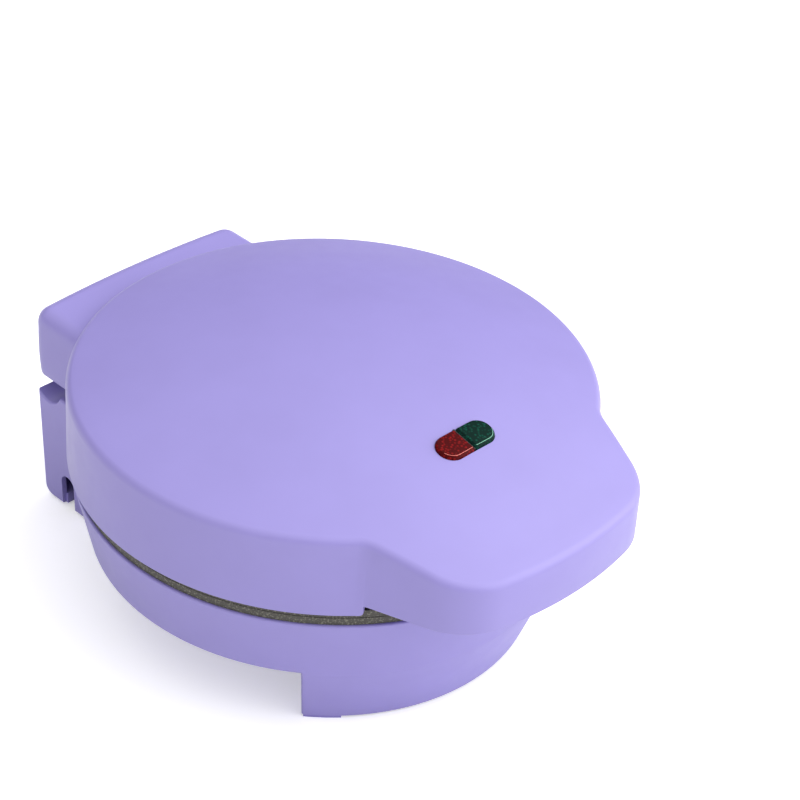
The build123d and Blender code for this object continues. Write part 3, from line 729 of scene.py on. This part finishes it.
    def stitch_open(self, name: str, columns: list[list[Vector]]) -> bpy.types.Object:
        """Join columns along an open run, then close the run's ends and its two tops."""
        rows, count = len(columns[0]), len(columns)
        points = [p for column in columns for p in column]
        faces: list[tuple[int, ...]] = []
        for i in range(count - 1):
            for k in range(rows - 1):
                faces.append((i * rows + k, (i + 1) * rows + k, (i + 1) * rows + k + 1, i * rows + k + 1))
        half = count // 2
        for k in (0, rows - 1):
            for i in range(half):
                a, b = i * rows + k, (i + 1) * rows + k
                c, d = (count - 2 - i) * rows + k, (count - 1 - i) * rows + k
                face = (a, b, c, d) if b != c else (a, b, d)
                faces.append(face[::-1] if k == 0 else face)
        faces.append(tuple(range(rows)))
        faces.append(tuple(reversed(range((count - 1) * rows, count * rows))))
        return new_piece(name, points, faces, self.finish)

    def pierce(self, shell: bpy.types.Object) -> None:
        """Cut the lamps' window, a slot with round ends, through the shell."""
        end = self.window_width / 2
        half = self.window_length / 2 - end
        ring = []
        for x, start in ((half, -math.pi / 2), (-half, math.pi / 2)):
            for i in range(self.window_steps + 1):
                angle = start + math.pi * i / self.window_steps
                ring.append((x + end * math.cos(angle), -self.window_y + end * math.sin(angle)))
        count = len(ring)
        below, above = 100.0, 130.0
        points = [self.place(spot, z) for z in (below, above) for spot in ring]
        faces = [tuple(reversed(range(count))), tuple(range(count, 2 * count))]
        faces += [(i, (i + 1) % count, count + (i + 1) % count, count + i) for i in range(count)]
        cutter = new_piece("window_cutter", points, faces, self.finish)
        cut = shell.modifiers.new("window", "BOOLEAN")
        cut.object, cut.operation, cut.solver = cutter, "DIFFERENCE", "EXACT"
        graph = bpy.context.evaluated_depsgraph_get()
        mesh = bpy.data.meshes.new_from_object(shell.evaluated_get(graph))
        shell.modifiers.clear()
        shell.data = mesh
        mesh.set_sharp_from_angle(angle=math.radians(40))
        bpy.data.objects.remove(cutter)

    def build(self) -> list[bpy.types.Object]:
        """Build both mouldings, pierce the window and fix them to the lid.

        Returns:
            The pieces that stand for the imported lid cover.
        """
        shell = self.shell()
        self.pierce(shell)
        self.pieces = [shell, self.hinge_cover()]
        for piece in self.pieces:
            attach(piece, "lid")
            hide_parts("lid_cover")
        return self.pieces


# ----------------------------------------------------------------------------
# Pilot lenses
# ----------------------------------------------------------------------------
class LampSide(Enum):
    """Which half of the window a lens fills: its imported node, its slot and its side."""

    RED = ("red_lens", "red_lens", -1)
    GREEN = ("green_lens", "green_lens", 1)


@dataclass
class PilotLens:
    """Half of the window's lens: a plug with a chamfered rim that stands proud of the lid.

    Every length is in millimetres.
    """

    half: LampSide
    finish: bpy.types.Material
    painted_highlight_finish: bpy.types.Material
    axis_y: float
    window_y: float = 74.5
    length: float = 29.0
    width: float = 12.6
    split: float = 0.6
    low_z: float = 108.0
    proud: float = 1.5
    crown: float = 0.1
    rim: float = 1.0
    rim_round: float = 0.35
    corner: float = 1.2
    # outward direction towards the front beyond which the upper edge gets the painted highlight
    painted_highlight_front: float = -0.35
    # shares of the way from the face's middle to its rim that carry a ring of points
    face_shares: tuple[float, ...] = (0.75, 0.5, 0.25, 0.08)

    def outline(self) -> list[Station]:
        """Plan of the half lens about the window's centre, its flat side at the split."""
        side = self.half.value[2]
        end = self.width / 2
        inner, outer = self.split / 2 + self.corner, self.length / 2 - end
        made = arc_stations((inner, end - self.corner), self.corner, math.pi, math.pi / 2, 5)
        made += arc_stations((outer, 0.0), end, math.pi / 2, -math.pi / 2, 40)
        made += arc_stations((inner, self.corner - end), self.corner, -math.pi / 2, -math.pi, 5)
        return made if side > 0 else [s.mirrored() for s in reversed(made)]

    def top_z(self, x: float, y: float) -> float:
        """Height of the lens's face over a point of the window."""
        reach = math.hypot(x, y - self.window_y)
        dome = DOME_TOP - DOME_RADIUS + math.sqrt(DOME_RADIUS**2 - reach**2)
        bulge = max(0.0, 1 - (2 * y / self.width) ** 2)
        return dome + self.proud + self.crown * bulge

    def paint_edge_highlight(self, lens: bpy.types.Object, stations: list[Station], height: int) -> None:
        """Paint a highlight on the rounded upper edge of the lens's front side, in a pale finish.

        Args:
            lens: The finished lens.
            stations: Its outline.
            height: Number of points in each column of its mesh.
        """
        lens.data.materials.append(self.painted_highlight_finish)
        # rows of faces that make the rim's small round
        round_rows = range(5, 9)
        # the front rim's round gets the pale finish of the painted highlight
        for i, station in enumerate(stations):
            if station.out_y < self.painted_highlight_front:
                for k in round_rows:
                    lens.data.polygons[i * (height - 1) + k].material_index = 1

    def rim_profile(self) -> list[Point]:
        """Depth and drop of a chamfered rim whose upper edge is slightly rounded."""
        slope = self.rim - self.rim_round * math.tan(math.pi / 8)
        made = [(0.0, self.rim), (0.12, self.rim - 0.2)]
        made.append((slope * 0.5, self.rim - slope * 0.5))
        steps = 6
        for i in range(steps + 1):
            angle = math.pi / 4 * (1 + i / steps)
            made.append((self.rim - self.rim_round * math.cos(angle),
                         self.rim_round - self.rim_round * math.sin(angle)))
        return made

    def place(self, spot: Point, z: float) -> Vector:
        """A point of the window at a height, in the row frame in metres."""
        return Vector((spot[0], spot[1] - self.window_y + self.axis_y, z)) * MM

    def column(self, station: Station) -> list[Vector]:
        """Points of the lens at a station, from its foot over the rim to near its middle."""
        points = [self.place(station.inset(0.0), self.low_z)]
        for depth, drop in self.rim_profile():
            spot = station.inset(depth)
            points.append(self.place(spot, self.top_z(*spot) - drop))
        middle = self.half.value[2] * self.length / 4
        rim_spot = station.inset(self.rim)
        for share in self.face_shares:
            spot = (middle + (rim_spot[0] - middle) * share, rim_spot[1] * share)
            points.append(self.place(spot, self.top_z(*spot)))
        return points

    def build(self) -> bpy.types.Object:
        """Build the lens and fix it to the lid.

        Returns:
            The lens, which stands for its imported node.
        """
        stations = self.outline()
        node, slot, _ = self.half.value
        columns = [self.column(station) for station in stations]
        lens = stitch_loop(f"{node}_plug", columns, self.finish, 50.0)
        self.paint_edge_highlight(lens, stations, len(columns[0]))
        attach(lens, "lid")
        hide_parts(node)
        return lens


# ----------------------------------------------------------------------------
# Carried-over pieces
# ----------------------------------------------------------------------------
@dataclass
class PackedPieces:
    """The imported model's own nodes, dressed with the finish of their slot."""

    frame: dict
    palette: dict[str, bpy.types.Material]

    def dress(self) -> None:
        """Give each node the finish of its slot."""
        slots = {s["node"]: s["material_slot"] for s in self.frame["record"]["subparts"]}
        for name, node in self.frame["nodes"].items():
            node.data.materials.clear()
            node.data.materials.append(self.palette[slots[name]])
            log.info("packed node %s wears %s", name, slots[name])


# ----------------------------------------------------------------------------
# Studio
# ----------------------------------------------------------------------------
@dataclass(frozen=True)
class Panel:
    """One soft panel of the studio: where it hangs, how bright it is and how narrow.

    The azimuth goes round from the picture's right, away from the camera first.
    """

    azimuth: float
    elevation: float
    strength: float
    focus: float


@dataclass
class Studio:
    """Pale floor, soft light and the camera at the photograph's angle."""

    axis_y: float
    azimuth: float = -47.1
    elevation: float = 34.92
    roll: float = 3.99
    distance: float = 1100.0
    focal_px: float = 2651.0
    target: tuple[float, float, float] = (15.5, -23.4, 101.5)
    image_px: float = 800.0
    sensor_mm: float = 36.0
    backlight: float = 0.4
    floor_half_m: float = 6.0
    # broad: overhead, right, front left, left, front right; narrow: high behind right, high right
    panels: tuple[Panel, ...] = (Panel(0.0, 90.0, 1.28, 2.0), Panel(0.0, 22.0, 2.8, 3.0),
                                 Panel(225.0, 22.0, 0.4, 3.0), Panel(180.0, 22.0, 0.21, 3.0),
                                 Panel(315.0, 22.0, 0.2, 3.0), Panel(45.0, 50.0, 0.83, 24.0),
                                 Panel(0.0, 50.0, 0.09, 24.0))

    def camera(self) -> bpy.types.Object:
        """Place the camera.

        Returns:
            The camera, made the scene's own.
        """
        azimuth, elevation, roll = (math.radians(a) for a in (self.azimuth, self.elevation, self.roll))
        back = Vector((math.sin(azimuth) * math.cos(elevation), -math.cos(azimuth) * math.cos(elevation),
                       math.sin(elevation)))
        level = Vector((math.cos(azimuth), math.sin(azimuth), 0))
        rise = back.cross(level)
        right = level * math.cos(roll) + rise * math.sin(roll)
        up = rise * math.cos(roll) - level * math.sin(roll)
        target = Vector((self.target[0], self.target[1] + self.axis_y, self.target[2]))
        place = (target + back * self.distance) * MM
        data = bpy.data.cameras.new("studio_camera")
        data.sensor_width = self.sensor_mm
        data.lens = self.focal_px * self.sensor_mm / self.image_px
        data.clip_start, data.clip_end = 0.05, 20.0
        camera = bpy.data.objects.new("studio_camera", data)
        turn = Matrix((right, up, back)).transposed().to_4x4()
        camera.matrix_world = Matrix.Translation(place) @ turn
        bpy.context.scene.collection.objects.link(camera)
        bpy.context.scene.camera = camera
        return camera

    def floor(self) -> bpy.types.Object:
        """Lay a pale seamless floor under the object."""
        half = self.floor_half_m
        corners = ((-half, -half), (half, -half), (half, half), (-half, half))
        points = [Vector((x, y, 0)) for x, y in corners]
        surface = Surface.named("matt_white_paper_backdrop",
                                {"Roughness": 0.9, "Emission Color": linear("#FFFFFF")})
        tone = surface.spread(surface.noise(400.0, 2.0), 0.0, 1.0)
        surface.feed("Base Color", surface.blend(tone, "#F6F6F6", "#F2F2F3"))
        # paper lit from behind: it shows white and adds no light to the object
        seen = add_node(surface.tree, "ShaderNodeLightPath").outputs["Is Camera Ray"]
        surface.feed("Emission Strength", surface.spread(seen, 0.0, self.backlight, 0.0, 1.0))
        floor = new_piece("studio_floor", points, [(0, 1, 2, 3)], surface.material)
        return floor

    def towards(self, azimuth: float, elevation: float) -> Vector:
        """Direction at an angle round from the right of the picture, and above the floor."""
        turn, rise = math.radians(self.azimuth + azimuth), math.radians(elevation)
        return Vector((math.cos(turn) * math.cos(rise), math.sin(turn) * math.cos(rise), math.sin(rise)))

    def lights(self) -> None:
        """Surround the set with soft panels, and show the camera plain white paper."""
        world = bpy.data.worlds.new("white_cyclorama")
        world.use_nodes = True
        tree = world.node_tree
        tree.nodes.clear()
        way = add_node(tree, "ShaderNodeTexCoord").outputs["Generated"]
        total: bpy.types.NodeSocket | float = 0.0
        for panel in self.panels:
            middle = self.towards(panel.azimuth, panel.elevation)
            facing = add_node(tree, "ShaderNodeVectorMath", {0: way, 1: middle}, operation="DOT_PRODUCT")
            ahead = add_node(tree, "ShaderNodeMath", {0: facing.outputs["Value"], 1: 0.0},
                             operation="MAXIMUM")
            glow = add_node(tree, "ShaderNodeMath", {0: ahead.outputs[0], 1: panel.focus},
                            operation="POWER")
            added = add_node(tree, "ShaderNodeMath", {0: glow.outputs[0], 1: panel.strength, 2: total},
                             operation="MULTIPLY_ADD")
            total = added.outputs[0]
        white = linear("#FFFFFF")
        room = add_node(tree, "ShaderNodeBackground", {"Color": white, "Strength": total})
        paper = add_node(tree, "ShaderNodeBackground", {"Color": white, "Strength": 1.0})
        seen = add_node(tree, "ShaderNodeLightPath").outputs["Is Camera Ray"]
        both = add_node(tree, "ShaderNodeMixShader", {"Fac": seen, 1: room.outputs[0], 2: paper.outputs[0]})
        add_node(tree, "ShaderNodeOutputWorld", {"Surface": both.outputs[0]})
        bpy.context.scene.world = world
        bpy.context.scene.view_settings.view_transform = "Standard"


def main() -> None:
    """Build the scene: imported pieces, new mouldings, studio."""
    logging.basicConfig(level=logging.INFO, format="%(name)s: %(message)s")
    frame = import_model()
    base_low, base_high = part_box("lower_plate")
    axis_y = (base_low.y + base_high.y) / 2 / MM
    studio = Studio(axis_y)
    studio.camera()
    palette = finishes()
    PackedPieces(frame, palette).dress()
    pieces = LidCover(palette["lilac_plastic"], axis_y).build()
    for side in LampSide:
        slot = side.value[1]
        # the pale finish that paints a highlight on the lens's front edge
        edge = slot.replace("lens", "edge")
        pieces.append(PilotLens(side, palette[slot], palette[edge], axis_y).build())
    for piece in pieces:
        log.info("built %s with %d faces", piece.name, len(piece.data.polygons))
    studio.floor()
    studio.lights()


if __name__ == "__main__":
    main()
